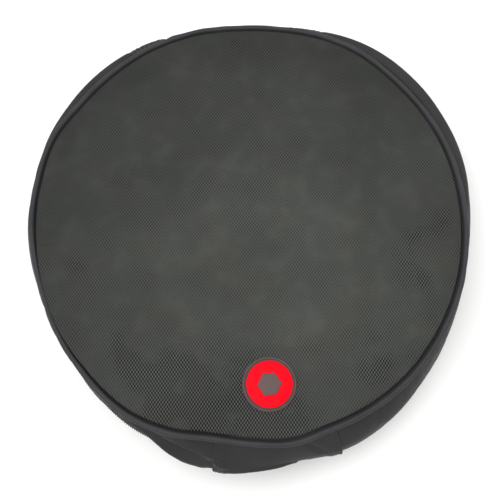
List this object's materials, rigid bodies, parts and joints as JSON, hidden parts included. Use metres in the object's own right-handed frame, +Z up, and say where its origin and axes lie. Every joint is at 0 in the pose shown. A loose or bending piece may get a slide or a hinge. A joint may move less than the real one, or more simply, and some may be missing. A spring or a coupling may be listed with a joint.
{
  "type": "padded drum bag",
  "caption": "Round padded bag for a small drum or tambourine, with a zipped lid on a cloth spine, piped edges, carry handle and a round rubber badge.",
  "frame": {"origin": "centre of the back panel's outer face, where the bag lies on a surface", "axes": "+Z up out of the front panel, -Y towards the cloth spine that the lid turns on, +Y towards the carry handle, +X to the right seen from the front"},
  "size_m": [0.3122, 0.3165, 0.0681],
  "materials": {
    "face_cloth": "coarse basket weave, coated",
    "wall_cloth": "fine plain weave, coated",
    "piping": "fine nylon over cord",
    "foam": "closed cell foam",
    "lining": "thin nylon",
    "binding": "grosgrain tape",
    "zip_tape": "woven tape",
    "zip_coil": "nylon coil",
    "slider_metal": "black enamel",
    "grip_rubber": "moulded, matt",
    "webbing": "woven webbing",
    "badge_rubber": "moulded, matt",
    "badge_colour": "moulded, smooth"
  },
  "bodies": {
    "base": {"back_panel": "wall_cloth", "back_foam": "foam", "back_lining": "lining", "back_piping": "piping", "back_seam_binding": "binding", "base_gusset_shell": "wall_cloth", "base_gusset_foam": "foam", "base_gusset_lining": "lining", "base_zip_tape": "zip_tape", "base_zip_coil": "zip_coil", "base_zip_stops": "slider_metal", "spine_panel": "wall_cloth", "spine_backing": "wall_cloth"},
    "lid": {"face_panel": "face_cloth", "face_foam": "foam", "face_lining": "lining", "face_piping": "piping", "face_seam_binding": "binding", "lid_gusset_shell": "wall_cloth", "lid_gusset_foam": "foam", "lid_gusset_lining": "lining", "lid_zip_tape": "zip_tape", "lid_zip_coil": "zip_coil", "lid_zip_stops": "slider_metal", "handle_patches": "wall_cloth", "badge_base": "badge_rubber", "badge_inlay": "badge_colour", "badge_boss": "badge_rubber"},
    "slider_right": {"slider_right_body": "slider_metal"},
    "slider_left": {"slider_left_body": "slider_metal"},
    "puller_right": {"slider_right_puller": "slider_metal", "slider_right_grip": "grip_rubber"},
    "puller_left": {"slider_left_puller": "slider_metal", "slider_left_grip": "grip_rubber"},
    "handle": {"handle_webbing": "webbing", "handle_grip": "grip_rubber"}
  },
  "joints": [
    {"name": "lid_open", "type": "hinge", "parent": "base", "child": "lid", "pos_m": [0, -0.1565, 0.028], "axis": [1, 0, 0], "range_deg": [0, 135], "deforming": ["spine_panel", "spine_backing", "base_zip_coil", "lid_zip_coil"]},
    {"name": "slider_right_travel", "type": "hinge", "parent": "base", "child": "slider_right", "pos_m": [0, 0, 0.028], "axis": [0, 0, -1], "range_deg": [0, 93]},
    {"name": "slider_left_travel", "type": "hinge", "parent": "base", "child": "slider_left", "pos_m": [0, 0, 0.028], "axis": [0, 0, 1], "range_deg": [0, 191]},
    {"name": "puller_right_swing", "type": "hinge", "parent": "slider_right", "child": "puller_right", "pos_m": [0.12588, 0.09835, 0.028], "axis": [0, 0, 1], "range_deg": [0, 90]},
    {"name": "puller_left_swing", "type": "hinge", "parent": "slider_left", "child": "puller_left", "pos_m": [0.11491, 0.11097, 0.028], "axis": [0, 0, -1], "range_deg": [0, 90]},
    {"name": "handle_swing", "type": "hinge", "parent": "lid", "child": "handle", "pos_m": [0, 0.1489, 0.0453], "axis": [1, 0, 0], "range_deg": [0, 90]}
  ],
  "couplings": [
    {"joint": "slider_right_travel", "follows": "lid_open", "ratio": 0.688},
    {"joint": "slider_left_travel", "follows": "lid_open", "ratio": 1.414}
  ]
}
